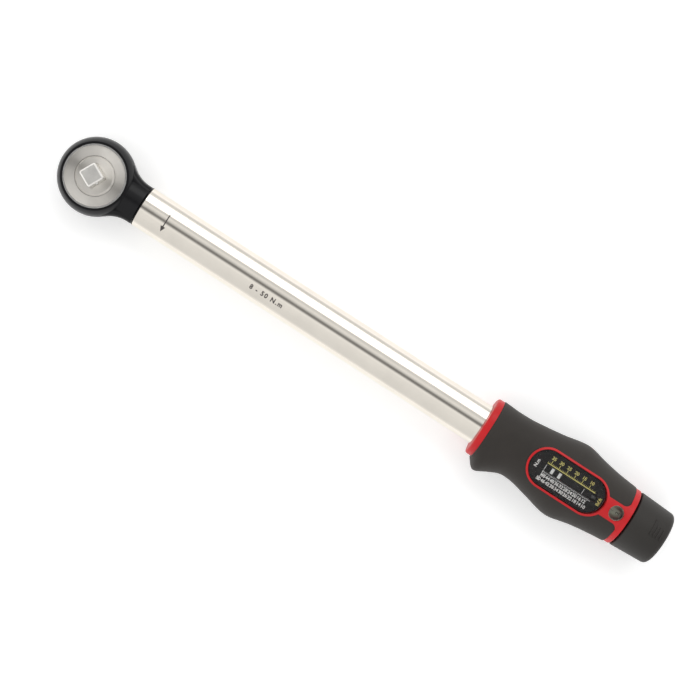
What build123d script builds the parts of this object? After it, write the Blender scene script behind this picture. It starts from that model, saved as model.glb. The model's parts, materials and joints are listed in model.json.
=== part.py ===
from build123d import *
import math
import os

os.makedirs("parts", exist_ok=True)

# Click-type torque wrench, 3/8 inch square drive, in millimetres.
# The parts are drawn about the tool's centre line: +X runs from the drive axis to the adjuster
# knob, and +Z is the way the square drive points. On export each part is lowered by seat_z,
# which puts the origin on the drive axis, on the shoulder that a socket rests against.

# Fits
running = 0.05
sliding = 0.15
loose = 0.3
axial_gap = 0.1      # play along the drive axis between stacked ratchet parts

# Ratchet wheel, drive spindle and square
tooth_count = 48
gear_tip = 11.0
tooth_depth = 0.65
gear_clearance = 0.4
hub_radius = 10.55
hub_proud = 1.0
hub_chamfer = 1.0
journal_radius = 7.0
journal_length = 1.5
square_size = 9.53
square_length = 10.0
square_turn = -27.0
square_corner = 1.1
square_chamfer = 0.8
relief_width = 0.5
relief_depth = 0.5
ball_radius = 1.2
ball_height = 6.0
ball_proud = 0.55
ball_bore_depth = 5.0
ball_spring_wire = 0.35
ball_spring_radius = 0.8
ball_spring_pitch = 0.8

# Ratchet head, its cover and snap ring
head_half = 8.0
head_draw_in = 3.0   # the barrel's side bows out by this from its faces
head_wall = 4.2      # from the cover to the outside of the head
pocket_floor = -5.1
cover_margin = 5.9   # from the wheel's tips to the edge of the cover
cover_thickness = 1.5
cover_top = 7.1
cover_gap = 0.2
ring_width = 0.9
ring_thickness = 0.7
ring_eye = 1.2
ring_gap_turn = 150.0
groove_depth = 0.5

# Pawl, and the selector that tips it
pawl_pivot_gap = 5.2
pawl_pin_radius = 1.25
pawl_pin_depth = 1.5
pawl_hub_radius = 2.5
pawl_arm_gap = 1.9
pawl_bridge_gap = 1.2
pawl_bridge_extra = 0.9
pawl_arm_from = 22.0
pawl_arm_to = 40.0
pawl_swing = 13.0
pawl_half_thickness = 3.0
selector_gap = 6.8   # from the pawl's pivot to the selector's axis
selector_radius = 3.0
selector_bore = 0.9
selector_swing = 40.0
selector_top = 3.2
selector_plunger_radius = 0.8
selector_plunger_reach = 3.95
selector_plunger_seat = 1.2
selector_spring_wire = 0.25
selector_spring_radius = 0.6
selector_bore_floor = -1.0   # the sprung plunger's bore ends this side of the axis
selector_spring_pitch = 0.55
selector_square = 3.6
oring_height = 1.0
oring_depth = 0.6
oring_z = -5.0
lever_thickness = 2.6
lever_gap = 0.15
lever_round = 0.8
lever_floor = 0.8
lever_hub_radius = 5.0
lever_boss_radius = 4.2
lever_tip_radius = 3.4
lever_length = 15.0
lever_screw_radius = 1.6
lever_screw_slot = 0.35

# Neck, tail lever and trip mechanism
neck_length = 4.9    # from the selector's axis to the end of the neck
neck_step = 0.4      # the neck stands in from the tube's sides by this
neck_drop = 0.5      # and from the tube's broad faces by this
neck_blend = 18.0
flare_half_thickness = 5.0
flare_round = 3.0
pivot_inset = 4.9
pivot_radius = 2.9
tail_root_half_width = 6.8
tail_root_length = 9.0
tail_half_width = 5.2
tail_half_thickness = 4.5
tail_length = 42.6
pad_radius = 3.4
pad_proud = 0.4
pad_depth = 3.0
block_length = 9.0
block_half_width = 3.5
block_half_thickness = 4.0
block_chamfer = 0.6
plunger_length = 13.9
plunger_side_gap = 0.7
spigot_gap = 0.4
spigot_length = 7.0
sleeve_inset = 3.4
sleeve_length = 8.5

# Tube
tube_width = 23.0
tube_height = 16.0
tube_side_radius = 6.64   # of the rounder sides, which sets how flat the broad faces are
tube_wall = 1.5
tube_length = 289.4
tube_gap = 1.2
seal_thickness = 0.6
seal_inset = 0.2

# Main spring, carriage and pointer
spring_wire = 2.1
spring_pitch = 4.4
spring_length = 121.0
seat_washer_thickness = 1.5
nut_length = 14.0
thread_gap = 0.5     # between the screw and the inside of the spring
arm_half_width = 2.0
arm_gap = 1.0        # between the screw and the arm above it
arm_thickness = 1.6
arm_overlap = 10.0
arm_screw_shank = 0.8
arm_screw_head = 1.4
arm_screw_head_height = 0.45
post_half_length = 2.0
post_half_width = 1.5
strip_back = 26.0
strip_front = 5.0
strip_half_width = 1.6
strip_thickness = 1.1
strip_gap = 0.4
travel_down = 23.375
travel_up = 5.5

# Adjusting screw, end bush, fine-scale drum
screw_reach = 25.0   # ahead of the spring's seat
collar_radius = 4.0
collar_length = 2.0
bush_length = 6.3
bush_pin_radius = 1.25
bush_pin_length = 5.0
washer_thickness = 1.0
drum_radius = 9.6
drum_length = 7.4
drum_gap = 0.6
drum_bore_gap = 0.8
drum_clip_radius = 5.2
drum_clip_thickness = 0.8
hex_across = 7.0
hex_inset = 8.0

# Handle
handle_overlap = 77.5
front_ring_length = 3.7
front_ring_side = 2.25
front_ring_top = 2.5
front_ring_round = 1.4
rear_ring_length = 3.2
rear_ring_lap = 1.1   # it laps over the lens ring by this
rear_ring_round = 0.6
rear_ring_side = 1.7
rear_ring_top = 4.7
core_side = 3.0
core_breadth = 6.0   # the core is at least this much wider than it is thick
core_cover = 3.5     # over the tube
drum_wall = 1.1      # and round the drum
core_crown = 30.0
frame_from_rear = 25.5
frame_length = 47.2
frame_width = 22.4
frame_border = 1.1
frame_proud = 0.45
window_ledge = 0.5
window_thickness = 1.4
window_gap = 1.2
plate_thickness = 0.8
plate_gap = 0.1
pointer_offset = 10.1   # from the window's middle to the pointer's line at the rest setting
lens_radius = 4.1
lens_rim = 1.4
lens_proud = 3.9     # above the core
lens_thickness = 3.0
lens_round = 0.8
inlay_from_rear = 22.0
inlay_radius = 1.4
handle_screw_front = 21.0
handle_screw_rear = 11.5
handle_screw_radius = 1.5
handle_screw_head = 2.7
handle_screw_head_height = 1.6
# Grip sections: distance from the front ring, then how far the rubber stands out from the core
# upwards, downwards (finger guard side) and on each broad face
grip_sections = [
    (0.0, 2.7, 3.4, 2.8),
    (2.5, 2.5, 6.4, 2.8),
    (5.2, 2.3, 8.0, 2.8),
    (10.5, 2.1, 5.5, 2.6),
    (17.5, 2.3, 2.2, 2.5),
    (24.5, 3.1, 2.0, 2.8),
    (36.0, 4.7, 4.5, 4.0),
    (46.5, 6.8, 7.0, 4.9),
    (52.0, 6.9, 7.1, 4.9),
    (61.0, 4.9, 5.0, 4.8),
    (71.0, 3.2, 3.4, 4.7),
]
grip_rear = (2.0, 2.2, 4.6)
grip_crown_ratio = 2.0
grip_step = 3.4      # spacing of the loft's sections
grip_edge = 0.7

# Knob and setting lock
knob_gap = 1.0
knob_length = 21.2
knob_radius = 16.1
knob_end_radius = 15.0
knob_round = 2.8
knob_front_round = 0.6
lock_teeth = 24
lock_wall = 2.6
lock_tooth_height = 0.9
lock_tooth_width = 1.0
lock_gap = 0.3
lock_side_gap = 0.2
lock_ring_gap = 0.4
lock_base = 2.4
lock_dog_depth = 1.2
cap_radius = 11.0
cap_thickness = 1.6
knob_screw_radius = 4.4
knob_screw_head = 3.0
knob_screw_shank = 1.6
knob_screw_length = 8.5
knob_screw_key = 2.5
rib_groups = 2
ribs_per_group = 4
rib_inset = 3.5
rib_pitch = 1.93
rib_width = 0.8
rib_height = 0.4
rib_span = 23.0      # angle of a rib round the knob, from the middle of its broad face
long_rib_span = 34.0

# Values worked out from the sizes above
hub_top = cover_top + hub_proud
seat_z = hub_top
tip_z = hub_top + square_length
gear_top = cover_top - cover_thickness - axial_gap
gear_root = gear_tip - tooth_depth
cover_radius = gear_tip + cover_margin
head_radius = cover_radius + head_wall
pawl_pivot_x = gear_tip + pawl_pivot_gap
pawl_arm_outer = gear_tip + pawl_arm_gap
pawl_bridge_inner = gear_tip + pawl_bridge_gap
selector_x = pawl_pivot_x + selector_gap
neck_end = selector_x + neck_length
neck_half_width = tube_width / 2 - neck_step
neck_half_thickness = tube_height / 2 - neck_drop
lever_top = -head_half - lever_gap
lever_bottom = lever_top - lever_thickness

inner_width = tube_width - 2 * tube_wall
inner_height = tube_height - 2 * tube_wall
tube_half_width = tube_width / 2
tube_half_height = tube_height / 2
tube_crown = (tube_half_width**2 + tube_half_height**2 - 2 * tube_side_radius * tube_half_width) / (
    2 * (tube_half_height - tube_side_radius)
)
inner_crown = tube_crown - tube_wall
neck_crown = tube_crown - neck_step
tube_front = neck_end + tube_gap
tube_rear = tube_front + tube_length
pivot_x = tube_front + pivot_inset
tail_root_end = pivot_x + tail_root_length
tail_end = pivot_x + tail_length
pad_face = tail_end + pad_proud
block_front = pad_face + running
block_rear = block_front + block_length
plunger_front = block_rear + running
plunger_radius = inner_height / 2 - plunger_side_gap
spring_front = plunger_front + plunger_length
spring_mean_radius = plunger_radius - spring_wire / 2
spring_inner_radius = plunger_radius - spring_wire
spigot_radius = spring_inner_radius - spigot_gap
thread_radius = spring_inner_radius - thread_gap
sleeve_start = plunger_front + sleeve_inset
carriage_x = spring_front + spring_length
nut_front = carriage_x + seat_washer_thickness
nut_rear = nut_front + nut_length
arm_bottom = thread_radius + arm_gap
strip_bottom = tube_height / 2 + strip_gap
screw_front = carriage_x - screw_reach
bush_front = tube_rear - bush_length
washer_front = bush_front - running - washer_thickness
drum_front = tube_rear + drum_gap
drum_rear = drum_front + drum_length
drum_bore_radius = drum_radius + drum_bore_gap

core_height = max(tube_height + 2 * core_cover, 2 * (drum_bore_radius + drum_wall))
core_width = max(tube_width + 2 * core_side, core_height + core_breadth)
handle_front = tube_rear - handle_overlap
grip_start = handle_front + front_ring_length
lens_x = (drum_front + drum_rear) / 2
lens_ring_radius = lens_radius + lens_rim
rear_ring_start = lens_x + lens_ring_radius - rear_ring_lap
rear_ring_end = rear_ring_start + rear_ring_length
rear_ring_radius = max(core_width / 2 + rear_ring_side, core_height / 2 + rear_ring_top)
lens_top = core_height / 2 + lens_proud
frame_centre_x = tube_rear - frame_from_rear
frame_end_x = frame_centre_x + frame_length / 2
plate_bottom = strip_bottom + strip_thickness + plate_gap
window_top = plate_bottom + plate_thickness + window_gap + window_thickness
pointer_index_x = frame_centre_x + pointer_offset
post_end = pointer_index_x + post_half_length
above_all = 2 * knob_radius   # a height clear of everything, for cuts that run out of the top

lock_outer = drum_bore_radius - lock_side_gap
lock_inner = lock_outer - lock_wall
lock_ring_front = drum_rear + lock_ring_gap
lock_ring_top = lock_ring_front + lock_base
dog_tooth_front = lock_ring_top + lock_tooth_height + lock_gap
knob_front = rear_ring_end + knob_gap
knob_end = knob_front + knob_length
hex_end = knob_end - hex_inset


def along(profile, x0, x1):
    """Solid between two stations on the tool's centre line."""
    return extrude(Plane.YZ.offset(x0) * profile, x1 - x0)


def rod(radius, x0, x1, y=0.0, z=0.0):
    """Round bar along the tool."""
    return along(Pos(y, z) * Circle(radius), x0, x1)


def post(radius, z0, z1, x=0.0, y=0.0):
    """Round bar along the drive axis."""
    return Pos(x, y, (z0 + z1) / 2) * Cylinder(radius, z1 - z0)


def bar(x0, x1, y0, y1, z0, z1):
    """Rectangular bar between six limits."""
    return Pos((x0 + x1) / 2, (y0 + y1) / 2, (z0 + z1) / 2) * Box(x1 - x0, y1 - y0, z1 - z0)


def slab(outline, z0, z1):
    """Flat outline thickened between two heights."""
    return extrude(Pos(0, 0, z0) * outline, z1 - z0)


def oval_half(reach, half_height, crown, side):
    """Half of a four-arc oval on one side of the centre line, as three arcs."""
    corner = (2 * crown * half_height - reach**2 - half_height**2) / (2 * (crown - reach))
    rise = crown - half_height
    turn_y = crown * (reach - corner) / (crown - corner)
    turn_z = crown * rise / (crown - corner) - rise
    crown_mid = math.asin(turn_y / crown) / 2
    mid_y = crown * math.sin(crown_mid)
    mid_z = crown * math.cos(crown_mid) - rise
    upper = ThreePointArc((0, half_height), (side * mid_y, mid_z), (side * turn_y, turn_z))
    round_side = ThreePointArc((side * turn_y, turn_z), (side * reach, 0), (side * turn_y, -turn_z))
    lower = ThreePointArc((side * turn_y, -turn_z), (side * mid_y, -mid_z), (0, -half_height))
    return [upper, round_side, lower]


def oval(width, height, crown):
    """Oval with gently crowned broad faces and rounder sides."""
    right = oval_half(width / 2, height / 2, crown, 1)
    left = oval_half(width / 2, height / 2, crown, -1)
    return make_face(right + left)


def write(name, solid):
    """Put the part in the object's frame and write its file."""
    export_step(Pos(0, 0, -seat_z) * solid, f"parts/{name}.step")


def gear_outline(grow=0.0):
    """Vee-toothed wheel with a tooth space on the +X axis, grown outwards by a clearance."""
    half_pitch = 180 / tooth_count
    points = []
    for step in range(2 * tooth_count):
        radius = (gear_root if step % 2 == 0 else gear_tip) + grow
        points.append(polar(radius, step * half_pitch))
    return make_face(Polyline(points, close=True))


def polar(radius, degrees):
    """Point at a radius and an angle."""
    angle = math.radians(degrees)
    return (radius * math.cos(angle), radius * math.sin(angle))


def sector(inner, outer, start, end):
    """Piece of a flat ring between two angles."""
    middle = (start + end) / 2
    return make_face([
        ThreePointArc(polar(outer, start), polar(outer, middle), polar(outer, end)),
        Line(polar(outer, end), polar(inner, end)),
        ThreePointArc(polar(inner, end), polar(inner, middle), polar(inner, start)),
        Line(polar(inner, start), polar(outer, start)),
    ])


def about_pivot(shape, angle):
    """Turn a shape about the pawl's pivot."""
    return Pos(pawl_pivot_x, 0) * Rot(0, 0, angle) * Pos(-pawl_pivot_x, 0) * shape


def pawl_outline():
    """Rocking pawl in mid position: two toothed arms joined behind the wheel by a hub."""
    tooth_gap = gear_clearance / 5
    upper = sector(gear_root + sliding, pawl_arm_outer, pawl_arm_from, pawl_arm_to)
    upper -= gear_outline(tooth_gap)
    upper = about_pivot(upper, -pawl_swing / 2)
    overlap = 4.0
    bridge = sector(pawl_bridge_inner, pawl_arm_outer + pawl_bridge_extra,
                    -pawl_arm_from - overlap, pawl_arm_from + overlap)
    hub = Pos(pawl_pivot_x, 0) * Circle(pawl_hub_radius)
    web_start = pawl_bridge_inner + 0.6
    web = Pos((web_start + pawl_pivot_x) / 2, 0) * Rectangle(
        pawl_pivot_x - web_start, 2 * pawl_hub_radius
    )
    outline = upper + mirror(upper, Plane.XZ) + bridge + hub + web
    return outline - Pos(pawl_pivot_x, 0) * Circle(pawl_pin_radius + running)


def pawl():
    """The pawl as it sits at rest, with the +Y arm in the wheel."""
    flat = about_pivot(pawl_outline(), pawl_swing / 2)
    return slab(flat, -pawl_half_thickness, pawl_half_thickness)


def pawl_pocket():
    """Room for the pawl in the head, open towards the cover."""
    cover_seat = 0.6
    swing_room = 9.0
    room = sector(gear_tip - 1, cover_radius - cover_seat,
                  -pawl_arm_to - swing_room, pawl_arm_to + swing_room)
    hub_room = Pos(pawl_pivot_x, 0) * Circle(pawl_hub_radius + loose)
    return slab(room + hub_room, -pawl_half_thickness - axial_gap, gear_top + axial_gap)


def neck():
    """Crowned neck in line with the tube, standing out of a thinner flare with concave sides."""
    centre_y = neck_half_width + neck_blend
    span = head_radius + neck_blend
    centre_x = math.sqrt(span**2 - centre_y**2)
    touch_x = centre_x * head_radius / span
    touch_y = centre_y * head_radius / span
    turn = math.atan2(centre_x - touch_x, centre_y - touch_y) / 2
    mid_x = centre_x - neck_blend * math.sin(turn)
    mid_y = centre_y - neck_blend * math.cos(turn)
    start_x = head_radius / 3
    edges = []
    for side in (1, -1):
        edges.append(Line((start_x, side * touch_y * 0.8), (touch_x, side * touch_y)))
        edges.append(ThreePointArc(
            (touch_x, side * touch_y), (mid_x, side * mid_y), (centre_x, side * neck_half_width)
        ))
        edges.append(Line((centre_x, side * neck_half_width), (neck_end, side * neck_half_width)))
    edges.append(Line((neck_end, neck_half_width), (neck_end, -neck_half_width)))
    edges.append(Line((start_x, touch_y * 0.8), (start_x, -touch_y * 0.8)))
    flare = slab(make_face(edges), -flare_half_thickness, flare_half_thickness)
    long_edges = flare.edges().filter_by(
        lambda edge: abs(abs(edge.center().Z) - flare_half_thickness) < 0.01
        and edge.center().X > touch_x
        and abs(edge.center().Y) > neck_half_width - 0.5
    )
    flare = fillet(long_edges, flare_round)
    section = oval(2 * neck_half_width, 2 * neck_half_thickness, neck_crown)
    return flare + along(section, cover_radius, neck_end)


def barrel():
    """Round head with two flat faces and a bowed side."""
    face_radius = head_radius - head_draw_in
    profile = make_face([
        Line((0, head_half), (0, -head_half)),
        Line((0, -head_half), (face_radius, -head_half)),
        ThreePointArc((face_radius, -head_half), (head_radius, 0), (face_radius, head_half)),
        Line((face_radius, head_half), (0, head_half)),
    ])
    return revolve(Plane.XZ * profile, Axis.Z)


def head_body():
    """Round head, neck and tail lever in one forging, with the pockets for the ratchet."""
    body = barrel() + neck()
    body += bar(
        neck_end - 2, tail_root_end, -tail_root_half_width, tail_root_half_width,
        -tail_half_thickness, tail_half_thickness,
    )
    body += bar(
        tail_root_end, tail_end, -tail_half_width, tail_half_width,
        -tail_half_thickness, tail_half_thickness,
    )
    body -= rod(pad_radius, tail_end - pad_depth, tail_end)
    body -= post(pivot_radius + running, -head_half, head_half, pivot_x)
    body -= post(gear_tip + gear_clearance, pocket_floor, head_half, 0)
    body -= post(journal_radius + running, pocket_floor - journal_length - axial_gap, pocket_floor, 0)
    body -= post(cover_radius, gear_top + axial_gap, head_half, 0)
    body -= post(cover_radius + groove_depth, cover_top, cover_top + ring_thickness, 0)
    body -= pawl_pocket()
    body -= post(pawl_pin_radius, pocket_floor - pawl_pin_depth, 0, pawl_pivot_x)
    body -= post(selector_radius + running, -head_half, selector_top + axial_gap, selector_x)
    body -= post(lever_boss_radius + sliding, -head_half, -neck_half_thickness, selector_x)
    side_room = 18.0
    half_angle = selector_swing / 2 + side_room
    reach = selector_plunger_reach + 4 * loose
    channel = sector(selector_bore, reach, 180 - half_angle, 180 + half_angle)
    channel_half = selector_plunger_radius + 0.5
    return body - slab(Pos(selector_x, 0) * channel, -channel_half, channel_half)


def cover_disc():
    disc = post(cover_radius - running / 2, gear_top + axial_gap, cover_top, 0)
    return disc - post(hub_radius + cover_gap, gear_top, cover_top + 1, 0)


def cover_ring():
    """Snap ring that holds the cover, open at one place."""
    top = cover_top + ring_thickness
    ring = post(cover_radius + groove_depth - axial_gap, cover_top, top, 0)
    ring -= post(cover_radius - ring_width, cover_top, top, 0)
    reach = 3 * ring_width
    gap = bar(cover_radius - reach, cover_radius + reach, -ring_eye, ring_eye, cover_top, top)
    return ring - Rot(0, 0, ring_gap_turn) * gap


def square_outline():
    return fillet(Rectangle(square_size, square_size).vertices(), square_corner)


def ball_direction():
    """Place that turns +X into the outward normal of the square's sprung flat."""
    return Rot(0, 0, square_turn)


def ratchet_wheel():
    """Toothed ring pressed on the drive spindle."""
    ring = slab(gear_outline(), pocket_floor + axial_gap, gear_top)
    return ring - post(journal_radius, pocket_floor, gear_top, 0)


def drive_spindle():
    """Journal, hub and male square in one piece."""
    journal = post(journal_radius, pocket_floor - journal_length, gear_top, 0)
    hub = post(hub_radius, gear_top, hub_top, 0)
    hub = chamfer(hub.edges().filter_by(GeomType.CIRCLE).sort_by(Axis.Z)[-1], hub_chamfer)
    square = slab(Rot(0, 0, square_turn) * square_outline(), hub_top, tip_z)
    square = chamfer(square.faces().sort_by(Axis.Z)[-1].edges(), square_chamfer)
    relief = offset(square_outline(), relief_width) - square_outline()
    relief = slab(Rot(0, 0, square_turn) * relief, hub_top - relief_depth, hub_top)
    body = journal + hub + square - relief
    bore = rod(ball_radius + running, square_size / 2 - ball_bore_depth, square_size)
    return body - ball_direction() * Pos(0, 0, hub_top + ball_height) * bore


def detent_ball():
    centre = square_size / 2 + ball_proud - ball_radius
    return ball_direction() * Pos(centre, 0, hub_top + ball_height) * Sphere(ball_radius)


def coil(wire, mean_radius, pitch, x0, x1):
    """Helical spring along the tool between two seats."""
    start = x0 + wire / 2
    height = x1 - x0 - wire
    path = Helix(pitch=pitch, height=height, radius=mean_radius, center=(start, 0, 0),
                 direction=(1, 0, 0))
    section = Plane(origin=path @ 0, z_dir=path % 0) * Circle(wire / 2)
    return sweep(section, path=path)


def detent_spring():
    end = square_size / 2 + ball_proud - 2 * ball_radius
    spring = coil(ball_spring_wire, ball_spring_radius, ball_spring_pitch,
                  square_size / 2 - ball_bore_depth, end)
    return ball_direction() * Pos(0, 0, hub_top + ball_height) * spring


def pawl_pin():
    return post(pawl_pin_radius, pocket_floor - pawl_pin_depth, gear_top, pawl_pivot_x)


def selector_frame():
    """Place of the selector at rest, with its plunger over the +Y arm of the pawl."""
    return Pos(selector_x, 0, 0) * Rot(0, 0, -selector_swing / 2)


def square_bar(z0, z1):
    """The square end that turns the selector with its lever."""
    half = selector_square / 2
    return bar(-half, half, -half, half, z0, z1)


def oring_space(inner, outer, half_height):
    """Ring round the selector at the level of its seal."""
    z0, z1 = oring_z - half_height, oring_z + half_height
    return post(outer, z0, z1, 0) - post(inner, z0, z1, 0)


def selector_shaft():
    """Turning post that carries the sprung plunger, with a square end for the lever."""
    bottom = -neck_half_thickness
    shaft = post(selector_radius, bottom, selector_top, 0)
    shaft += square_bar(lever_bottom + lever_floor, bottom)
    bore = rod(selector_plunger_radius + running, selector_bore_floor, 2 * selector_radius)
    shaft -= Rot(0, 0, 180) * bore
    shaft -= post(selector_bore, lever_bottom, oring_z + oring_height / 2, 0)
    groove_half = oring_height / 2 + axial_gap
    groove = oring_space(selector_radius - oring_depth, 2 * selector_radius, groove_half)
    return selector_frame() * (shaft - groove)


def selector_oring():
    ring = oring_space(selector_radius - oring_depth, selector_radius, oring_height / 2)
    return selector_frame() * ring


def selector_plunger():
    tip = selector_plunger_reach - selector_plunger_radius
    pin = rod(selector_plunger_radius, selector_plunger_seat, tip)
    pin += Pos(tip, 0, 0) * Sphere(selector_plunger_radius)
    return selector_frame() * Rot(0, 0, 180) * pin


def selector_spring():
    spring = coil(selector_spring_wire, selector_spring_radius, selector_spring_pitch,
                  selector_bore_floor + running, selector_plunger_seat)
    return selector_frame() * Rot(0, 0, 180) * spring


def reverse_lever():
    """Thumb lever on the back of the head."""
    outline = make_hull([
        *Circle(lever_hub_radius).edges(),
        *(Pos(-lever_length, 0) * Circle(lever_tip_radius)).edges(),
    ])
    body = slab(outline, lever_bottom, lever_top)
    body = fillet(body.faces().sort_by(Axis.Z)[0].edges(), lever_round)
    body += post(lever_boss_radius, lever_top, -neck_half_thickness - axial_gap, 0)
    body -= square_bar(lever_bottom + lever_floor, -neck_half_thickness)
    body -= post(lever_screw_radius, lever_bottom, lever_bottom + lever_floor, 0)
    return selector_frame() * body


def lever_screw():
    screw = post(lever_screw_radius, lever_bottom, lever_bottom + lever_floor, 0)
    screw += post(selector_bore, lever_bottom + lever_floor, oring_z + oring_height / 4, 0)
    slot = bar(-lever_screw_radius, lever_screw_radius, -lever_screw_slot / 2, lever_screw_slot / 2,
               lever_bottom, lever_bottom + lever_screw_slot)
    return selector_frame() * (screw - slot)


def tail_pad():
    return rod(pad_radius, tail_end - pad_depth, pad_face)


def trip_block():
    block = bar(block_front, block_rear, -block_half_width, block_half_width,
                -block_half_thickness, block_half_thickness)
    return chamfer(block.edges().filter_by(Axis.X), block_chamfer)


def thrust_plunger():
    body = rod(plunger_radius, plunger_front, spring_front)
    body += rod(spigot_radius, spring_front, spring_front + spigot_length)
    return chamfer(body.edges().filter_by(GeomType.CIRCLE).sort_by(Axis.X)[-1], block_chamfer)


def guide_sleeve():
    sleeve = along(oval(inner_width, inner_height, inner_crown), sleeve_start,
                   sleeve_start + sleeve_length)
    return sleeve - rod(plunger_radius + running, sleeve_start, sleeve_start + sleeve_length)


def tube_solid():
    return along(oval(tube_width, tube_height, tube_crown), tube_front, tube_rear)


def handle_screws_at(z0, z1, radius):
    front = post(radius, z0, z1, handle_front + handle_screw_front)
    return front + post(radius, z0, z1, tube_rear - handle_screw_rear)


def tube():
    body = tube_solid()
    body -= along(oval(inner_width, inner_height, inner_crown), tube_front, tube_rear)
    body -= post(pivot_radius, -tube_height, tube_height, pivot_x)
    slot_start = post_end - 2 * post_half_length - travel_down - loose
    slot_half_width = post_half_width + loose
    body -= bar(slot_start, post_end + travel_up + loose, -slot_half_width, slot_half_width,
                0, tube_height)
    body -= bush_pins()
    return body - handle_screws_at(-tube_height, 0, handle_screw_radius)


def pivot_pin():
    return post(pivot_radius, -tube_height, tube_height, pivot_x) & tube_solid()


def head_seal():
    seal = along(
        oval(tube_width - 2 * seal_inset, tube_height - 2 * seal_inset, tube_crown - seal_inset),
        tube_front - seal_thickness, tube_front,
    )
    half_width = tail_root_half_width + 2 * loose
    half_height = tail_half_thickness + loose
    return seal - bar(0, pivot_x, -half_width, half_width, -half_height, half_height)


def main_spring():
    return coil(spring_wire, spring_mean_radius, spring_pitch, spring_front, carriage_x)


def seat_washer():
    washer = rod(plunger_radius + sliding, carriage_x, nut_front)
    return washer - rod(thread_radius + loose, carriage_x, nut_front)


def carriage_nut():
    """Oval nut that the screw draws along the tube without turning."""
    body = along(oval(inner_width - 2 * sliding, inner_height - 2 * sliding, inner_crown - sliding),
                 nut_front, nut_rear)
    body -= rod(thread_radius + running, nut_front, nut_rear)
    body -= bar(nut_rear - arm_overlap, nut_rear, -arm_half_width, arm_half_width,
                arm_bottom, inner_height)
    return body - arm_screw_solids()


def arm_screw_places():
    return (nut_rear - 0.75 * arm_overlap, nut_rear - 0.25 * arm_overlap)


def arm_screw_solids():
    top = arm_bottom + arm_thickness
    screws = Part()
    for x in arm_screw_places():
        screws += post(arm_screw_shank, thread_radius + loose, top, x)
        screws += post(arm_screw_head, top, top + arm_screw_head_height, x)
    return screws


def pointer_arm():
    """Strip from the nut to the scale, with the post that comes up through the tube's slot."""
    body = bar(nut_rear - arm_overlap, post_end, -arm_half_width, arm_half_width,
               arm_bottom, arm_bottom + arm_thickness)
    body += bar(post_end - 2 * post_half_length, post_end, -post_half_width, post_half_width,
                arm_bottom, strip_bottom)
    return body - arm_screw_solids()


def scale_pointer():
    return bar(pointer_index_x - strip_back, pointer_index_x + strip_front,
               -strip_half_width, strip_half_width, strip_bottom, strip_bottom + strip_thickness)


def hexagon(across):
    return RegularPolygon(across / math.sqrt(3), 6)


def adjusting_screw():
    """Threaded rod with a thrust collar and a hexagon end for the drum and knob."""
    body = rod(thread_radius, screw_front, drum_front)
    body += rod(collar_radius, washer_front - running - collar_length, washer_front - running)
    body += along(hexagon(hex_across), drum_front, hex_end)
    body -= rod(knob_screw_shank, hex_end - knob_screw_length - 0.5, hex_end)
    return chamfer(body.edges().filter_by(GeomType.CIRCLE).sort_by(Axis.X)[0], block_chamfer)


def thrust_washer():
    washer = rod(collar_radius, washer_front, washer_front + washer_thickness)
    return washer - rod(thread_radius + sliding, washer_front, washer_front + washer_thickness)


def end_bush():
    body = along(oval(inner_width, inner_height, inner_crown), bush_front, tube_rear)
    body -= rod(thread_radius + running, bush_front, tube_rear)
    return body - bush_pins()


def bush_pins():
    """Pins through both sides of the tube into the end bush."""
    x = bush_front + bush_length / 2
    y = (tube_width - bush_pin_length) / 2 - axial_gap
    pin = Pos(x, y, 0) * Rot(90, 0, 0) * Cylinder(bush_pin_radius, bush_pin_length)
    return pin + mirror(pin, Plane.XZ)


def fine_scale_drum():
    """Drum under the lens that counts the parts of a turn, with a seat for its clip."""
    drum = rod(drum_radius, drum_front, drum_rear)
    drum -= along(hexagon(hex_across), drum_front, drum_rear)
    seat = drum_clip_thickness + 2 * axial_gap
    return drum - rod(drum_clip_radius + sliding, drum_rear - seat, drum_rear)


def drum_clip():
    start = drum_rear - axial_gap - drum_clip_thickness
    end = drum_rear - axial_gap
    return rod(drum_clip_radius, start, end) - along(hexagon(hex_across), start, end)


def grip_stations():
    """Grip sections as distance along the tool, reach up, reach down and half thickness."""
    rear = (rear_ring_start - grip_start, *grip_rear)
    return [
        (grip_start + x, core_width / 2 + up, core_width / 2 + down, core_height / 2 + out)
        for x, up, down, out in [*grip_sections, rear]
    ]


def grip_at(x):
    """Reach up, reach down and half thickness of the grip, on a smooth curve through its sections."""
    stations = grip_stations()
    last = len(stations) - 1
    index = max(i for i in range(last) if stations[i][0] <= x + 1e-6)
    before, start, end, after = (
        stations[max(0, min(last, i))] for i in range(index - 1, index + 3)
    )
    span = end[0] - start[0]
    t = (x - start[0]) / span
    values = []
    for i in (1, 2, 3):
        lead = (end[i] - before[i]) / (end[0] - before[0]) * span
        trail = (after[i] - start[i]) / (after[0] - start[0]) * span
        values.append(
            start[i] * (2 * t**3 - 3 * t**2 + 1) + lead * (t**3 - 2 * t**2 + t)
            + end[i] * (3 * t**2 - 2 * t**3) + trail * (t**3 - t**2)
        )
    return values


def grip_solid(grow=0.0):
    """Outer form of the grip, swept smoothly through its sections."""
    faces = []
    steps = round((rear_ring_start - grip_start) / grip_step)
    for step in range(steps + 1):
        x = grip_start + (rear_ring_start - grip_start) * step / steps
        up, down, half = grip_at(x)
        right = oval_half(up + grow, half + grow, grip_crown_ratio * (up + grow), 1)
        left = oval_half(down + grow, half + grow, grip_crown_ratio * (down + grow), -1)
        faces.append(Plane.YZ.offset(x) * make_face(right + left))
    return loft(faces)


def frame_outline(shrink=0.0):
    return Pos(frame_centre_x, 0) * SlotOverall(frame_length - 2 * shrink, frame_width - 2 * shrink)


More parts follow.
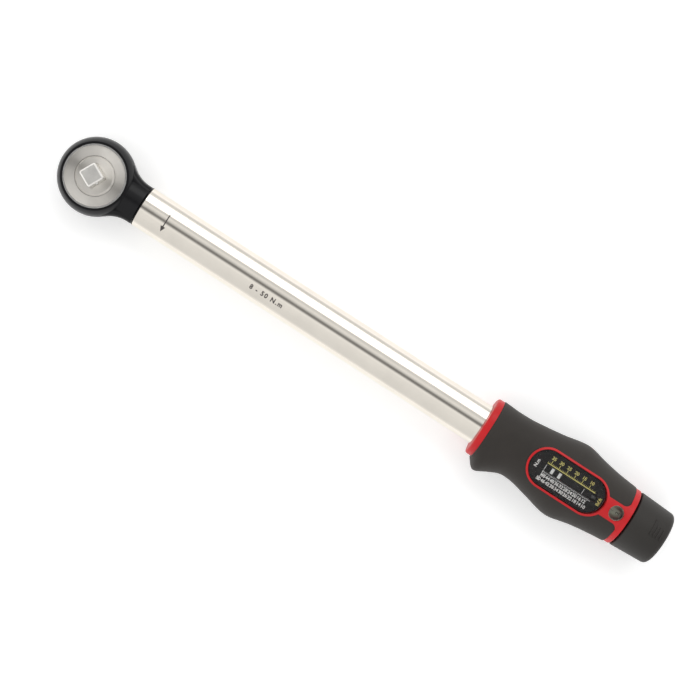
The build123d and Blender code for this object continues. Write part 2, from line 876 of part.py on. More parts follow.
def lens_web():
    """Flat web that ties the window frame, the lens ring and the rear ring together."""
    near = frame_end_x - 2 * frame_border
    half = lens_ring_radius - running
    flare_x = lens_x + 1
    far = rear_ring_start + running
    tip = half + far - flare_x
    edges = [Line((near, -half), (near, half)), Line((far, tip), (far, -tip))]
    for side in (1, -1):
        edges.append(Line((near, side * half), (flare_x, side * half)))
        edges.append(TangentArc((flare_x, side * half), (far, side * tip), tangent=(1, 0)))
    return make_face(edges)


def red_surface_parts():
    """What of the core comes up through the rubber: window frame, web, lens ring and inlay."""
    outline = frame_outline() + lens_web() + Pos(lens_x, 0) * Circle(lens_ring_radius)
    tower = slab(outline, core_height / 2 - core_cover, above_all)
    pin = Rot(-90, 0, 0) * Cylinder(inlay_radius, core_width)
    pin = Pos(tube_rear - inlay_from_rear, core_width - inlay_radius, 0) * pin
    return (tower & grip_solid(frame_proud)) + (pin & grip_solid())


def handle_core():
    """Red moulding around the tube: rings, window frame, lens ring and the room for the drum."""
    sleeve = along(oval(core_width, core_height, core_crown), handle_front, rear_ring_end)
    ring_width = core_width + 2 * front_ring_side
    ring_height = core_height + 2 * front_ring_top
    ring = along(oval(ring_width, ring_height, ring_width), handle_front, grip_start)
    ring = fillet(ring.faces().sort_by(Axis.X)[0].edges(), front_ring_round)
    rear = rod(rear_ring_radius, rear_ring_start, rear_ring_end)
    rear = fillet(rear.faces().sort_by(Axis.X)[-1].edges(), rear_ring_round)
    body = sleeve + ring + rear + red_surface_parts()
    body -= along(oval(tube_width, tube_height, tube_crown), handle_front, tube_rear)
    body -= rod(drum_bore_radius, tube_rear, rear_ring_end)
    body -= slab(frame_outline(frame_border), window_top - window_thickness, above_all)
    body -= slab(frame_outline(frame_border + window_ledge), plate_bottom, above_all)
    channel_start = pointer_index_x - strip_back - travel_down - loose
    channel_end = pointer_index_x + strip_front + travel_up + loose
    channel_half = strip_half_width + sliding
    body -= bar(channel_start, channel_end, -channel_half, channel_half, 0, plate_bottom)
    body -= post(lens_radius, 0, above_all, lens_x)
    body -= handle_screws()
    return body


def handle_screws():
    """Two screws through the back of the core into the tube wall."""
    head_bottom = -core_height / 2
    head_top = head_bottom + handle_screw_head_height
    shank_top = tube_wall / 3 - inner_height / 2
    shanks = handle_screws_at(head_top, shank_top, handle_screw_radius)
    return handle_screws_at(head_bottom, head_top, handle_screw_head) + shanks


def grip_cover():
    """Black rubber moulded over the core."""
    body = grip_solid()
    ends = body.faces().sort_by(Axis.X)
    body = fillet(ends[0].edges() + ends[-1].edges(), grip_edge)
    body -= along(oval(core_width, core_height, core_crown), handle_front, rear_ring_end)
    body -= red_surface_parts()
    body -= post(lens_radius, 0, above_all, lens_x)
    body -= slab(frame_outline(frame_border), 0, above_all)
    access = handle_screws_at(-above_all, 1 - core_height / 2, handle_screw_head + loose)
    return body - access


def scale_plate():
    plate = slab(frame_outline(frame_border + window_ledge), plate_bottom,
                 plate_bottom + plate_thickness)
    reach = post_half_length + 0.5
    half = strip_half_width + sliding
    return plate - bar(pointer_index_x - travel_down - reach, pointer_index_x + travel_up + reach,
                       -half, half, plate_bottom, above_all)


def scale_window():
    return slab(frame_outline(frame_border), window_top - window_thickness, window_top)


def fine_scale_lens():
    """Small domed lens over the drum."""
    body = post(lens_radius, lens_top - lens_thickness, lens_top, lens_x)
    return fillet(body.faces().sort_by(Axis.Z)[-1].edges(), lens_round)


def face_teeth(x0, x1, offset):
    """Ring of square teeth on an end face."""
    half = lock_tooth_width / 2
    tooth = bar(x0, x1, lock_inner + axial_gap, lock_outer - axial_gap, -half, half)
    step = 360 / lock_teeth
    return [Rot((index + offset) * step, 0, 0) * tooth for index in range(lock_teeth)]


def lock_ring():
    body = rod(drum_bore_radius, lock_ring_front, lock_ring_top)
    body -= rod(lock_inner, lock_ring_front, lock_ring_top)
    return body + face_teeth(lock_ring_top - axial_gap, lock_ring_top + lock_tooth_height, 0)


def lock_dog():
    """Toothed ring set in the knob, facing the lock ring."""
    base = dog_tooth_front + lock_tooth_height
    back = knob_front + lock_dog_depth
    body = rod(lock_outer, base, back) - rod(lock_inner, base, back)
    return body + face_teeth(dog_tooth_front, base + axial_gap, 0.5)


def knob_ribs():
    """Short raised ribs on both broad faces of the knob, the front rib of each group longer."""
    ribs = []
    for group in range(rib_groups):
        turn = Rot(group * 360 / rib_groups, 0, 0)
        for index in range(ribs_per_group):
            x = knob_end - rib_inset - index * rib_pitch
            span = long_rib_span if index == ribs_per_group - 1 else rib_span
            taper = (knob_radius - knob_end_radius) * (knob_end - x) / knob_length
            outer = knob_end_radius + taper + rib_height
            outline = sector(outer - 3 * rib_height, outer, 90 - span, 90)
            ribs.append(turn * along(outline, x - rib_width / 2, x + rib_width / 2))
    return ribs


def adjuster_knob():
    """Tapered knob that slides on the screw's hexagon and turns with it."""
    body = Pos(knob_front + knob_length / 2, 0, 0) * Rot(0, 90, 0) * Cone(
        knob_radius, knob_end_radius, knob_length
    )
    rims = body.edges().filter_by(GeomType.CIRCLE).sort_by(Axis.X)
    body = fillet(rims[-1], knob_round)
    body = fillet(body.edges().filter_by(GeomType.CIRCLE).sort_by(Axis.X)[0], knob_front_round)
    body += knob_ribs()
    body -= along(hexagon(hex_across + 2 * running), knob_front, knob_end)
    body -= rod(knob_screw_radius + loose, hex_end - axial_gap, knob_end)
    body -= rod(cap_radius, knob_end - cap_thickness, knob_end)
    return body - rod(lock_outer, knob_front, knob_front + lock_dog_depth)


def knob_cap():
    return rod(cap_radius, knob_end - cap_thickness, knob_end)


def knob_screw():
    """Screw in the end of the adjusting screw that keeps the knob on."""
    body = rod(knob_screw_radius, hex_end, hex_end + knob_screw_head)
    body += rod(knob_screw_shank, hex_end - knob_screw_length, hex_end)
    key_floor = hex_end + knob_screw_head / 2
    return body - along(hexagon(knob_screw_key), key_floor, hex_end + knob_screw_head)


makers = {
    "ratchet_head": head_body,
    "cover_disc": cover_disc,
    "cover_ring": cover_ring,
    "ratchet_wheel": ratchet_wheel,
    "drive_spindle": drive_spindle,
    "detent_ball": detent_ball,
    "detent_spring": detent_spring,
    "pawl": pawl,
    "pawl_pin": pawl_pin,
    "selector_shaft": selector_shaft,
    "selector_oring": selector_oring,
    "selector_plunger": selector_plunger,
    "selector_spring": selector_spring,
    "reverse_lever": reverse_lever,
    "lever_screw": lever_screw,
    "tail_pad": tail_pad,
    "trip_block": trip_block,
    "thrust_plunger": thrust_plunger,
    "guide_sleeve": guide_sleeve,
    "tube": tube,
    "pivot_pin": pivot_pin,
    "head_seal": head_seal,
    "main_spring": main_spring,
    "seat_washer": seat_washer,
    "carriage_nut": carriage_nut,
    "pointer_arm": pointer_arm,
    "arm_screws": arm_screw_solids,
    "scale_pointer": scale_pointer,
    "adjusting_screw": adjusting_screw,
    "thrust_washer": thrust_washer,
    "end_bush": end_bush,
    "bush_pins": bush_pins,
    "fine_scale_drum": fine_scale_drum,
    "drum_clip": drum_clip,
    "handle_core": handle_core,
    "handle_screws": handle_screws,
    "grip_cover": grip_cover,
    "scale_plate": scale_plate,
    "scale_window": scale_window,
    "fine_scale_lens": fine_scale_lens,
    "lock_ring": lock_ring,
    "lock_dog": lock_dog,
    "adjuster_knob": adjuster_knob,
    "knob_cap": knob_cap,
    "knob_screw": knob_screw,
}

for name, make in makers.items():
    write(name, make())
    print("made", name)
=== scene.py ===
import json
import math

import bmesh
import bpy
from mathutils import Matrix, Vector


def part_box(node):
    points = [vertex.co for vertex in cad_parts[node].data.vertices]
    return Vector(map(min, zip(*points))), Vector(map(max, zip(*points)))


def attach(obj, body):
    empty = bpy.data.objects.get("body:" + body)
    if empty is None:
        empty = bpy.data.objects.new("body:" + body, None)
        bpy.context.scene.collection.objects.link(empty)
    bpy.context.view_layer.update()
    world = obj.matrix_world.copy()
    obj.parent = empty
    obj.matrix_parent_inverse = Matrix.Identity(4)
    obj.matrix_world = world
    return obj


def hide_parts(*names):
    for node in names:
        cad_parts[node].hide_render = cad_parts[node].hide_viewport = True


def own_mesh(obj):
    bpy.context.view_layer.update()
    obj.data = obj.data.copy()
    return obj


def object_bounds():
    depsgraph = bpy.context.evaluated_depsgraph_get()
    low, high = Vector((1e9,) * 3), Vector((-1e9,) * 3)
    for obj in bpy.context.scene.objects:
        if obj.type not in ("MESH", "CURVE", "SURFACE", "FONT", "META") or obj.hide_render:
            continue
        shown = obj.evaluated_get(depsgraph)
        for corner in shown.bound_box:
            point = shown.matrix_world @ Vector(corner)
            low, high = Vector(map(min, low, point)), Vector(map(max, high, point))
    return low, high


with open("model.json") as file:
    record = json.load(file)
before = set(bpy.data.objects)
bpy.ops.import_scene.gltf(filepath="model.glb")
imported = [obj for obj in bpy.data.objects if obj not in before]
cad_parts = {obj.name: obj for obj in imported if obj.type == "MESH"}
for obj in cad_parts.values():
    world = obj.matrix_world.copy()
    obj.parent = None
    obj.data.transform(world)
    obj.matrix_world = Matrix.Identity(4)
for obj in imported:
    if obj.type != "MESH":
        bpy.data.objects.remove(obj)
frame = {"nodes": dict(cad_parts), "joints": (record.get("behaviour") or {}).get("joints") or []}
nodes = frame["nodes"]
joints = {j["name"]: j for j in frame["joints"]}
mm = 0.001
cadLow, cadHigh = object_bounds()
print("frame loaded", [round(v, 4) for v in (*cadLow, *cadHigh)])

# Places that everything else is measured from
tubeLow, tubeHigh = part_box("tube")
midZ = (tubeLow.z + tubeHigh.z) / 2  # height of the tool's own centre line
tubeHalfHeight = (tubeHigh.z - tubeLow.z) / 2


# small helpers for node materials

def newMaterial(name, **sockets):
    material = bpy.data.materials.new(name)
    material.use_nodes = True
    shader = material.node_tree.nodes["Principled BSDF"]
    for key, value in sockets.items():
        shader.inputs[key.replace("_", " ")].default_value = value
    return material, material.node_tree, shader


def addNode(tree, kind, **settings):
    node = tree.nodes.new(kind)
    for key, value in settings.items():
        setattr(node, key, value)
    return node


def objectPoint(tree, stretch=(1, 1, 1)):
    # object coordinates are the frame's metres, because every object sits at the origin
    coordinates = addNode(tree, "ShaderNodeTexCoord")
    mapping = addNode(tree, "ShaderNodeMapping")
    mapping.inputs["Scale"].default_value = stretch
    tree.links.new(coordinates.outputs["Object"], mapping.inputs["Vector"])
    return mapping.outputs["Vector"]


def noise(tree, point, scale, detail=3.0, roughness=0.5):
    node = addNode(tree, "ShaderNodeTexNoise")
    node.inputs["Scale"].default_value = scale
    node.inputs["Detail"].default_value = detail
    node.inputs["Roughness"].default_value = roughness
    tree.links.new(point, node.inputs["Vector"])
    return node.outputs["Fac"]


def ramp(tree, factor, stops):
    node = addNode(tree, "ShaderNodeValToRGB")
    elements = node.color_ramp.elements
    while len(elements) < len(stops):
        elements.new(0.5)
    for element, (place, color) in zip(elements, stops):
        element.position = place
        element.color = (*color, 1)
    tree.links.new(factor, node.inputs["Fac"])
    return node.outputs["Color"]


def remap(tree, factor, low, high):
    node = addNode(tree, "ShaderNodeMapRange")
    node.inputs["To Min"].default_value = low
    node.inputs["To Max"].default_value = high
    tree.links.new(factor, node.inputs["Value"])
    return node.outputs["Result"]


def paint(tree, shader, factor, stops):
    tree.links.new(ramp(tree, factor, stops), shader.inputs["Base Color"])


def polish(tree, shader, factor, low, high):
    tree.links.new(remap(tree, factor, low, high), shader.inputs["Roughness"])


def bump(tree, shader, height, distance, strength=1.0):
    node = addNode(tree, "ShaderNodeBump")
    node.inputs["Distance"].default_value = distance
    node.inputs["Strength"].default_value = strength
    tree.links.new(height, node.inputs["Height"])
    tree.links.new(node.outputs["Normal"], shader.inputs["Normal"])
    return node


def tint(color, factor):
    return tuple(min(1.0, channel * factor) for channel in color)


# finishes

def polishedChrome(name, color, roughness=0.07, smudge=0.06):
    # plated steel: faint handling marks vary the polish, and long draw lines barely show
    material, tree, shader = newMaterial(name, Metallic=1.0)
    point = objectPoint(tree)
    marks = noise(tree, point, 90, 5, 0.65)
    paint(tree, shader, marks, [(0.3, tint(color, 0.94)), (0.7, color)])
    polish(tree, shader, marks, roughness, roughness + smudge)
    lines = noise(tree, objectPoint(tree, (6, 900, 900)), 4, 2)
    bump(tree, shader, lines, 0.000004, 0.25)
    return material


def turnedSteel(name, color, roughness=0.3, anisotropy=0.97):
    # face turned about the drive axis: rings of fine tool marks and a radial sheen
    material, tree, shader = newMaterial(name, Metallic=1.0, Anisotropic=anisotropy,
                                         Anisotropic_Rotation=0.25)
    tangent = addNode(tree, "ShaderNodeTangent", direction_type="RADIAL", axis="Z")
    tree.links.new(tangent.outputs["Tangent"], shader.inputs["Tangent"])
    point = objectPoint(tree, (1, 1, 0))
    radius = addNode(tree, "ShaderNodeVectorMath", operation="LENGTH")
    tree.links.new(point, radius.inputs[0])
    combine = addNode(tree, "ShaderNodeCombineXYZ")
    tree.links.new(radius.outputs["Value"], combine.inputs["X"])
    rings = noise(tree, combine.outputs["Vector"], 9000, 4, 0.7)
    stain = noise(tree, objectPoint(tree), 140, 4, 0.6)
    paint(tree, shader, stain, [(0.25, tint(color, 0.9)), (0.75, color)])
    polish(tree, shader, rings, roughness - 0.07, roughness + 0.09)
    bump(tree, shader, rings, 0.000012, 0.35)
    return material


def machinedSteel(name, color, roughness=0.28):
    # plain ground or oiled steel parts
    material, tree, shader = newMaterial(name, Metallic=1.0)
    scratches = noise(tree, objectPoint(tree, (1, 1, 12)), 700, 4, 0.7)
    stain = noise(tree, objectPoint(tree), 200, 3)
    paint(tree, shader, stain, [(0.3, tint(color, 0.82)), (0.7, color)])
    polish(tree, shader, scratches, roughness - 0.08, roughness + 0.12)
    bump(tree, shader, scratches, 0.00001, 0.3)
    return material


def blackLacquer(name, color):
    # forged head under satin black lacquer: soft undulation and a finer orange peel
    material, tree, shader = newMaterial(
        name, Coat_Weight=0.15, Coat_Roughness=0.14, Specular_IOR_Level=0.16
    )
    point = objectPoint(tree)
    forged = noise(tree, point, 130, 3)
    peel = noise(tree, point, 1500, 2)
    paint(tree, shader, forged, [(0.3, tint(color, 0.8)), (0.7, tint(color, 1.25))])
    polish(tree, shader, forged, 0.24, 0.34)
    mix = addNode(tree, "ShaderNodeMath", operation="MULTIPLY_ADD")
    mix.inputs[1].default_value = 0.18
    tree.links.new(peel, mix.inputs[0])
    tree.links.new(forged, mix.inputs[2])
    bump(tree, shader, mix.outputs["Value"], 0.00008, 0.35)
    return material


def mouldedPlastic(name, color, roughness=0.36, grain=0.00002, scale=2600):
    # injection-moulded surface: very fine spark texture and slow flow shading
    material, tree, shader = newMaterial(name, Specular_IOR_Level=0.3)
    point = objectPoint(tree)
    flow = noise(tree, point, 55, 3)
    spark = noise(tree, point, scale, 3, 0.7)
    paint(tree, shader, flow, [(0.3, tint(color, 0.88)), (0.7, tint(color, 1.08))])
    polish(tree, shader, spark, roughness - 0.06, roughness + 0.1)
    bump(tree, shader, spark, grain, 0.5)
    return material


def softRubber(name, color):
    # matt overmoulded rubber: fine stipple, slightly dusty where it is handled
    material, tree, shader = newMaterial(
        name, Specular_IOR_Level=0.25, Sheen_Weight=0.04, Sheen_Roughness=0.6
    )
    point = objectPoint(tree)
    dust = noise(tree, point, 38, 4, 0.6)
    stipple = addNode(tree, "ShaderNodeTexVoronoi")
    stipple.inputs["Scale"].default_value = 1700
    tree.links.new(point, stipple.inputs["Vector"])
    paint(tree, shader, dust, [(0.3, tint(color, 0.86)), (0.72, tint(color, 1.18))])
    polish(tree, shader, dust, 0.56, 0.7)
    bump(tree, shader, stipple.outputs["Distance"], 0.00005, 0.35)
    return material


def printedInk(name, color, paintedGlow=0.0):
    # pad-printed ink with slightly uneven cover; inks behind the window get a faint glow of their own
    # colour, painted light in place of the light the window holds back
    material, tree, shader = newMaterial(name, Emission_Color=(*color, 1), Emission_Strength=paintedGlow)
    cover = noise(tree, objectPoint(tree), 2600, 3)
    paint(tree, shader, cover, [(0.25, tint(color, 0.8)), (0.6, color)])
    polish(tree, shader, cover, 0.4, 0.6)
    return material


def clearPlastic(name, color):
    # polished window plastic with faint wipe marks
    material, tree, shader = newMaterial(name, Transmission_Weight=1.0, IOR=1.49)
    wipes = noise(tree, objectPoint(tree, (1, 5, 1)), 160, 4, 0.7)
    paint(tree, shader, wipes, [(0.3, tint(color, 0.9)), (0.7, color)])
    polish(tree, shader, wipes, 0.01, 0.05)
    return material


finishes = {
    "headBlack": blackLacquer("headBlackLacquer", (0.006, 0.006, 0.007)),
    "turned": turnedSteel("turnedNickelSteel", (0.80, 0.77, 0.72)),
    "bright": machinedSteel("brightGroundSteel", (0.78, 0.77, 0.75), 0.18),
    "ground": machinedSteel("groundSquareSteel", (0.88, 0.86, 0.82), 0.3),
    "tube": polishedChrome("tubeChrome", (0.85, 0.80, 0.72)),
    "steel": machinedSteel("oiledToolSteel", (0.42, 0.42, 0.43), 0.34),
    "drum": machinedSteel("drumSatinSteel", (0.5, 0.49, 0.41), 0.4),
    "spring": machinedSteel("springSteel", (0.3, 0.3, 0.32), 0.36),
    "bronze": machinedSteel("bearingBronze", (0.62, 0.43, 0.2), 0.32),
    "red": mouldedPlastic("redMoulding", (0.60, 0.014, 0.018), 0.36),
    "rubber": softRubber("gripRubber", (0.036, 0.031, 0.027)),
    "seal": softRubber("sealRubber", (0.006, 0.006, 0.006)),
    "knob": mouldedPlastic("knobBlackMoulding", (0.032, 0.029, 0.026), 0.52, 0.00004, 1900),
    "plate": mouldedPlastic("scalePlateBlack", (0.018, 0.016, 0.016), 0.5, 0.00001),
    "window": clearPlastic("windowPlastic", (0.97, 0.98, 0.98)),
    "lens": clearPlastic("lensPlastic", (0.9, 0.93, 0.9)),
    # the white and yellow inks glow faintly: painted light, so they stay bright behind the window
    "whiteInkPaintedGlow": printedInk("whiteInkPaintedGlow", (0.80, 0.79, 0.77), 0.35),
    "yellowInkPaintedGlow": printedInk("yellowInkPaintedGlow", (0.66, 0.60, 0.20), 0.3),
    "greyInk": printedInk("tubeMarkInk", (0.07, 0.06, 0.055)),
    # black ink for the drum's print, also used for the painted shade oval on the pointer strip
    "blackInkAndPaintedShade": printedInk("blackInkAndPaintedShade", (0.006, 0.006, 0.006)),
}

nodeFinishes = {
    "headBlack": ["ratchet_head"],
    "turned": ["cover_disc", "drive_spindle"],
    "bright": ["cover_ring", "detent_ball", "pawl_pin", "selector_plunger", "lever_screw", "arm_screws",
               "thrust_washer", "bush_pins", "handle_screws", "knob_screw"],
    "tube": ["tube", "pivot_pin"],
    "steel": ["ratchet_wheel", "pawl", "selector_shaft", "tail_pad", "trip_block", "thrust_plunger",
              "seat_washer", "pointer_arm", "adjusting_screw", "lock_ring", "lock_dog"],
    "spring": ["detent_spring", "selector_spring", "main_spring", "drum_clip"],
    "bronze": ["guide_sleeve", "carriage_nut", "end_bush"],
    "red": ["handle_core"],
    "rubber": ["grip_cover"],
    "seal": ["head_seal", "selector_oring"],
    "knob": ["reverse_lever", "adjuster_knob", "knob_cap"],
    "drum": ["fine_scale_drum"],
    "plate": ["scale_plate", "scale_pointer"],
    "window": ["scale_window"],
    "lens": ["fine_scale_lens"],
}

for finish, names in nodeFinishes.items():
    for name in names:
        mesh = nodes[name].data
        mesh.materials.clear()
        mesh.materials.append(finishes[finish])
squareFrom = 0.3 * mm  # just above the shoulder
spindle = nodes["drive_spindle"].data
spindle.materials.append(finishes["ground"])
for face in spindle.polygons:
    if face.center.z > squareFrom:  # the square itself is ground, not turned
        face.material_index = 1
print("finishes on", sum(len(names) for names in nodeFinishes.values()), "cad nodes")


# coil springs, which shorten when what they push on moves in; here each is only copied onto the body it
# rides with, in place of its part
springFollows = {
    "main_spring": {"body": "frame", "joint": "carriage_travel", "travel": 23.4},
    "detent_spring": {"body": "drive", "joint": "ball_press", "travel": 0.5},
    "selector_spring": {"body": "selector", "joint": "selector_pin_slide", "travel": 0.3},
}


def makeSpring(name, follow):
    mesh = nodes[name].data.copy()
    piece = bpy.data.objects.new(name + "_coil", mesh)
    bpy.context.scene.collection.objects.link(piece)
    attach(piece, follow["body"])
    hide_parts(name)
    axis = Vector(joints[follow["joint"]]["axis"])
    reach = [axis.dot(vertex.co) for vertex in mesh.vertices]
    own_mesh(piece)


for name, follow in springFollows.items():
    makeSpring(name, follow)
print("springs made")


# printed marks

inkDepth = 0.02 * mm
capitalShare = 0.72  # of the font's size that a capital letter fills


def flatWords(words, height, x, y, turn=0.0, weight=0.02, spacing=1.0):
    # a word as flat triangles, upright letters of the given height, centred on its place (mm)
    curve = bpy.data.curves.new("words", "FONT")
    curve.body = words
    curve.size = height * mm / capitalShare
    curve.offset = weight * height * mm
    curve.space_character = spacing
    curve.align_x, curve.align_y = "CENTER", "CENTER"
    curve.resolution_u = 3
    holder = bpy.data.objects.new("words", curve)
    mesh = bpy.data.meshes.new_from_object(holder)
    mesh.transform(Matrix.Translation((x * mm, y * mm, 0)) @ Matrix.Rotation(math.radians(turn), 4, "Z"))
    bpy.data.objects.remove(holder)
    bpy.data.curves.remove(curve)
    return mesh


def flatBar(x0, x1, y0, y1):
    return flatShape([(x0, y0), (x1, y0), (x1, y1), (x0, y1)])


def flatShape(corners):
    mesh = bpy.data.meshes.new("mark")
    mesh.from_pydata([(x * mm, y * mm, 0) for x, y in corners], [], [list(range(len(corners)))])
    return mesh


def printMarks(name, body, ink, marks, surface, cut=0.0):
    # flat marks cut into strips, laid on a surface and given the depth of the ink
    shape = bmesh.new()
    for mark in marks:
        shape.from_mesh(mark)
        bpy.data.meshes.remove(mark)
    if cut:
        low = min(v.co.y for v in shape.verts)
        high = max(v.co.y for v in shape.verts)
        for step in range(1, int((high - low) / cut) + 1):
            everything = [*shape.verts, *shape.edges, *shape.faces]
            place = (0, low + step * cut, 0)
            bmesh.ops.bisect_plane(shape, geom=everything, plane_co=place, plane_no=(0, 1, 0))
    bmesh.ops.triangulate(shape, faces=shape.faces[:])
    for vertex in shape.verts:
        vertex.co = surface(vertex.co.x, vertex.co.y)
    mesh = bpy.data.meshes.new(name)
    shape.to_mesh(mesh)
    shape.free()
    piece = bpy.data.objects.new(name, mesh)
    bpy.context.scene.collection.objects.link(piece)
    thicken = piece.modifiers.new("ink", "SOLIDIFY")
    thicken.thickness = inkDepth
    thicken.offset = 1.0
    mesh.materials.append(finishes[ink])
    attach(piece, body)
    return piece


def flatSurface(height, middleX=0.0):
    return lambda x, y: (x + middleX, y, height)


# the scale behind the window, laid out in mm from the window's middle
plateLow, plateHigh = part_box("scale_plate")
windowMiddle = (plateLow.x + plateHigh.x) / 2
scaleLayout = {
    "tenPlace": 14.2,  # where 10 newton metres stands
    "pitch": -0.6875,  # along the tool for each newton metre
    "newtonRange": (8, 50),
    "newtonPerPound": 1.3558,
    "poundNumbers": range(10, 40, 5),
    "numberHeight": 1.8,
    "numberWeight": 0.055,
    "poundRow": 6.1,
    "poundRange": range(6, 38),
    "poundTick": (2.6, 4.9),
    "poundHalf": 0.17,
    "fineTick": (2.6, 3.55),
    "fineHalf": 0.08,
    "poundLine": (-13.5, 15.9, 2.35, 2.85),
    "newtonTick": (-3.1, -2.1),
    "newtonShort": 0.35,
    "newtonHalf": 0.12,
    "upperRow": -4.35,
    "lowerRow": -6.85,
    "newtonWords": (-18.1, -0.3),
    "poundWords": (20.0, -0.3),
    "endLine": (-13.35, -13.05, -7.9, -2.0),
}


def newtonPlace(value):
    return scaleLayout["tenPlace"] + (value - 10) * scaleLayout["pitch"]


def makeScale():
    layout = scaleLayout
    size, bold = layout["numberHeight"], layout["numberWeight"]
    yellow = [flatBar(*layout["poundLine"])]
    for pounds in layout["poundNumbers"]:
        x = newtonPlace(pounds * layout["newtonPerPound"])
        yellow.append(flatWords(str(pounds), size, x, layout["poundRow"], weight=bold))
        yellow.append(flatBar(x - layout["poundHalf"], x + layout["poundHalf"], *layout["poundTick"]))
    for pounds in layout["poundRange"]:
        x = newtonPlace(pounds * layout["newtonPerPound"])
        yellow.append(flatBar(x - layout["fineHalf"], x + layout["fineHalf"], *layout["fineTick"]))
    yellow.append(flatWords("lbf.ft", size, *layout["poundWords"], 90, bold))
    white = [flatBar(*layout["endLine"])]
    low, high = layout["newtonRange"]
    for newtons in range(low, high + 1):
        x = newtonPlace(newtons)
        lower, upper = layout["newtonTick"]
        if newtons % 4 == 2:
            white.append(flatWords(str(newtons), size, x, layout["lowerRow"], weight=bold))
        elif newtons % 4 == 0 and newtons > low:
            white.append(flatWords(str(newtons), size, x, layout["upperRow"], weight=bold))
        else:
            lower += layout["newtonShort"]
        white.append(flatBar(x - layout["newtonHalf"], x + layout["newtonHalf"], lower, upper))
    white.append(flatWords("N.m", size, *layout["newtonWords"], 90, bold))
    surface = flatSurface(plateHigh.z, windowMiddle)
    printMarks("scalePrintYellow", "frame", "yellowInkPaintedGlow", yellow, surface)
    printMarks("scalePrintWhite", "frame", "whiteInkPaintedGlow", white, surface)


# marks on the strip that moves under the window, in mm from its index line, and a dark oval of painted
# shade on it
pointerLow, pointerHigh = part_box("scale_pointer")
pointerLayout = {
    "index": -5.0,  # from the strip's rear end
    "halfWidth": 1.5,
    "indexLine": (-0.12, 0.12),
    "thickLines": [(-19.8, -18.2), (-15.4, -13.8)],
    "endLine": (-23.4, -23.1),
    "paintedShadeMiddle": -7.8,
    "paintedShadeReach": (6.2, 1.35),
}


def makePointerMarks():
    layout = pointerLayout
    half = layout["halfWidth"]
    lines = [layout["indexLine"], *layout["thickLines"], layout["endLine"]]
    surface = flatSurface(pointerHigh.z, pointerHigh.x + layout["index"] * mm)
    bars = [flatBar(x0, x1, -half, half) for x0, x1 in lines]
    printMarks("pointerLines", "carriage", "whiteInkPaintedGlow", bars, surface)
    # a dark oval laid on the strip in black: painted shade standing in for the shading seen through the
    # curved window
    reach, rise = layout["paintedShadeReach"]
    turns = [step * math.tau / 40 for step in range(40)]
    paintedShadeOval = [(layout["paintedShadeMiddle"] + reach * math.cos(t), rise * math.sin(t)) for t in turns]
    printMarks("pointerPaintedShade", "carriage", "blackInkAndPaintedShade", [flatShape(paintedShadeOval)], surface)


# the drum under the lens: four numbers to the turn, ten parts between them
drumLow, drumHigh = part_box("fine_scale_drum")
drumLayout = {
    "parts": 40,
    "numbers": 4,
    "tickReach": 1.1,
    "longReach": 2.2,
    "tickWidth": 0.16,
    "numberHeight": 2.1,
    "numberPlace": 1.5,
    "edge": -0.6,
}


def makeDrumMarks():
    layout = drumLayout
    radius = (drumHigh.z - drumLow.z) / 2
    halfLength = (drumHigh.x - drumLow.x) / 2 / mm
    around = math.tau * radius / mm
    marks = []
    for part in range(layout["parts"]):
        y = around * (part / layout["parts"] - 0.5)
        isLong = part % (layout["parts"] // layout["numbers"]) == 0
        reach = layout["longReach"] if isLong else layout["tickReach"]
        start = -halfLength - layout["edge"]
        half = layout["tickWidth"] / 2
        marks.append(flatBar(start, start + reach, y - half, y + half))
    for number in range(layout["numbers"]):
        y = around * (number / layout["numbers"] - 0.5)
        marks.append(flatWords(str(number), layout["numberHeight"], layout["numberPlace"], y, 90))
    middle = (drumLow + drumHigh) / 2

    def surface(x, y):
        angle = y / radius
        return (middle.x + x, middle.y + radius * math.sin(angle), middle.z + radius * math.cos(angle))

    printMarks("drumPrint", "screw", "blackInkAndPaintedShade", marks, surface, cut=0.5 * mm)


# marks on the tube: working direction and range
tubeMarks = {
    "crownRadius": 16.0,
    "arrowPlace": 44.3,
    "arrowEnds": (-5.8, 4.3),
    "arrowHead": (1.4, 3.0),
    "lineWidth": 0.6,
    "range": "8 - 50 N.m",
    "rangePlace": (109.2, -4.25),
    "rangeHeight": 2.5,
    "rangeWeight": 0.05,
    "rangeSpacing": 1.3,
}


def makeTubeMarks():
    layout = tubeMarks
    x = layout["arrowPlace"]
    tip, tail = layout["arrowEnds"]
    halfHead, headLength = layout["arrowHead"]
    half = layout["lineWidth"] / 2
    marks = [
        flatBar(x - half, x + half, tip + headLength, tail),
        flatShape([(x - halfHead, tip + headLength), (x, tip), (x + halfHead, tip + headLength)]),
        flatWords(layout["range"], layout["rangeHeight"], *layout["rangePlace"],
                  weight=layout["rangeWeight"], spacing=layout["rangeSpacing"]),
    ]
    crown = layout["crownRadius"] * mm
    middle = midZ + tubeHalfHeight - crown

    def surface(x, y):
        return (x, y, middle + math.sqrt(crown**2 - y**2))

    printMarks("tubeMarks", "frame", "greyInk", marks, surface, cut=0.4 * mm)


makeScale()
makePointerMarks()
makeDrumMarks()
makeTubeMarks()
print("printed marks laid on")


# stage, light and camera

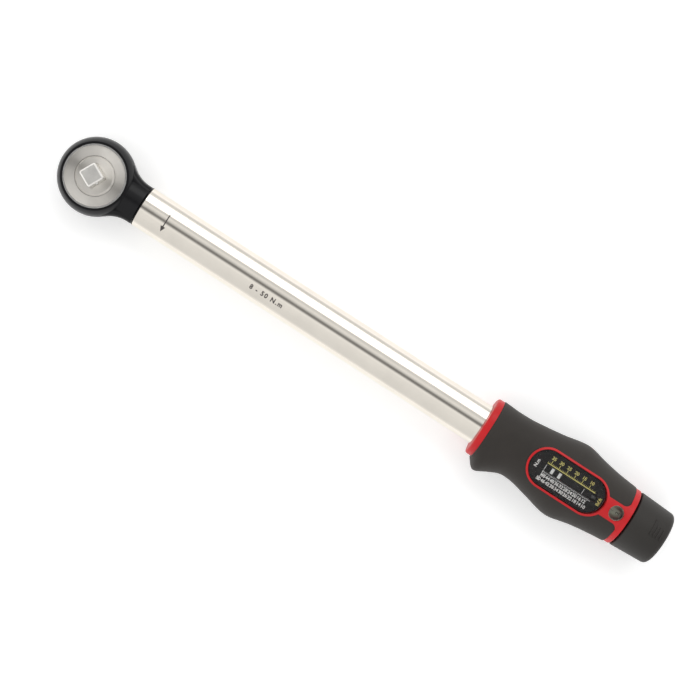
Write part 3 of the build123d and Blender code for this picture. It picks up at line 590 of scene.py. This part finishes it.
studio = {
    "floorColor": (0.93, 0.93, 0.925),
    "floorGap": 0.0002,
    "floorGlow": 0.35,
    "floorReach": 3.0,
    "worldStrength": 1.0,
    "overheadPower": 2.0,
    "overheadPlace": (0.1, 0.75, 0.9),
    "overheadAim": (0.16, 0, 0),
    "overheadSize": (1.2, 0.5),
    # degrees from overhead towards +Y, and how bright the room is there
    "roomStops": [
        (-90, 1.25), (-72, 0.8), (-40, 0.84), (-20, 0.9), (-12.5, 0.99), (-9, 0.66), (-5, 0.24), (-1, 0.19),
        (2.5, 0.4), (6, 0.67), (10, 0.81), (15, 0.92), (21, 0.73), (25, 0.68), (29, 0.95), (34, 1.15),
        (46, 1.1), (55, 0.8), (62, 0.58), (67, 0.6), (76, 0.85), (90, 1.25),
    ],
}
cameraPlace = {
    "target": (0.1613, -0.0044),  # point of the centre line's plane at the middle of the picture
    "distance": 0.895,
    "lean": 2.6,  # degrees towards the +Y side
    "turn": 32.8,  # degrees that the tool lies below the horizontal
    "lens": 87.4,
}


def makeFloor():
    mesh = bpy.data.meshes.new("floor")
    shape = bmesh.new()
    bmesh.ops.create_grid(shape, x_segments=8, y_segments=8, size=studio["floorReach"])
    shape.to_mesh(mesh)
    shape.free()
    floor = bpy.data.objects.new("floor", mesh)
    floor.location = (cameraPlace["target"][0], 0, cadLow.z - studio["floorGap"])
    bpy.context.scene.collection.objects.link(floor)
    material, tree, shader = newMaterial("floorPaper", Roughness=0.9, Emission_Color=(1, 1, 1, 1),
                                         Emission_Strength=studio["floorGlow"])
    paper = noise(tree, objectPoint(tree), 60, 3)
    color = studio["floorColor"]
    paint(tree, shader, paper, [(0.3, tint(color, 0.99)), (0.7, color)])
    mesh.materials.append(material)


def makeWorld():
    # a white room whose brightness changes only with height round the tool's long axis
    world = bpy.data.worlds.new("studioRoom")
    bpy.context.scene.world = world
    world.use_nodes = True
    tree = world.node_tree
    background = tree.nodes["Background"]
    coordinates = addNode(tree, "ShaderNodeTexCoord")
    split = addNode(tree, "ShaderNodeSeparateXYZ")
    tree.links.new(coordinates.outputs["Generated"], split.inputs["Vector"])
    angle = addNode(tree, "ShaderNodeMath", operation="ARCTAN2")
    tree.links.new(split.outputs["Y"], angle.inputs[0])
    tree.links.new(split.outputs["Z"], angle.inputs[1])
    turn = addNode(tree, "ShaderNodeMapRange")
    turn.inputs["From Min"].default_value = -math.pi / 2
    turn.inputs["From Max"].default_value = math.pi / 2
    tree.links.new(angle.outputs["Value"], turn.inputs["Value"])
    shades = [((degrees + 90) / 180, (level, level, level)) for degrees, level in studio["roomStops"]]
    tree.links.new(ramp(tree, turn.outputs["Result"], shades), background.inputs["Color"])
    background.inputs["Strength"].default_value = studio["worldStrength"]


def addSoftbox(name, place, aim, size, power):
    light = bpy.data.lights.new(name, "AREA")
    light.shape = "RECTANGLE"
    light.size, light.size_y = size
    light.energy = power
    box = bpy.data.objects.new(name, light)
    box.location = place
    box.rotation_euler = (Vector(aim) - Vector(place)).to_track_quat("-Z", "Y").to_euler()
    bpy.context.scene.collection.objects.link(box)


def makeCamera():
    middle = Vector((*cameraPlace["target"], midZ))
    lean = math.radians(cameraPlace["lean"])
    back = Vector((0, math.sin(lean), math.cos(lean)))
    turn = math.radians(cameraPlace["turn"])
    up = Vector((-math.sin(turn), math.cos(turn), 0))
    right = up.cross(back).normalized()
    up = back.cross(right)
    camera = bpy.data.cameras.new("camera")
    camera.lens = cameraPlace["lens"]
    camera.clip_start = 0.01
    holder = bpy.data.objects.new("camera", camera)
    axes = Matrix((right, up, back)).transposed().to_4x4()
    holder.matrix_world = Matrix.Translation(middle + back * cameraPlace["distance"]) @ axes
    bpy.context.scene.collection.objects.link(holder)
    bpy.context.scene.camera = holder


bpy.context.scene.view_settings.view_transform = "Standard"
makeFloor()
makeWorld()
addSoftbox("keySoftbox", studio["overheadPlace"], studio["overheadAim"], studio["overheadSize"],
           studio["overheadPower"])
makeCamera()
print("stage, light and camera ready")
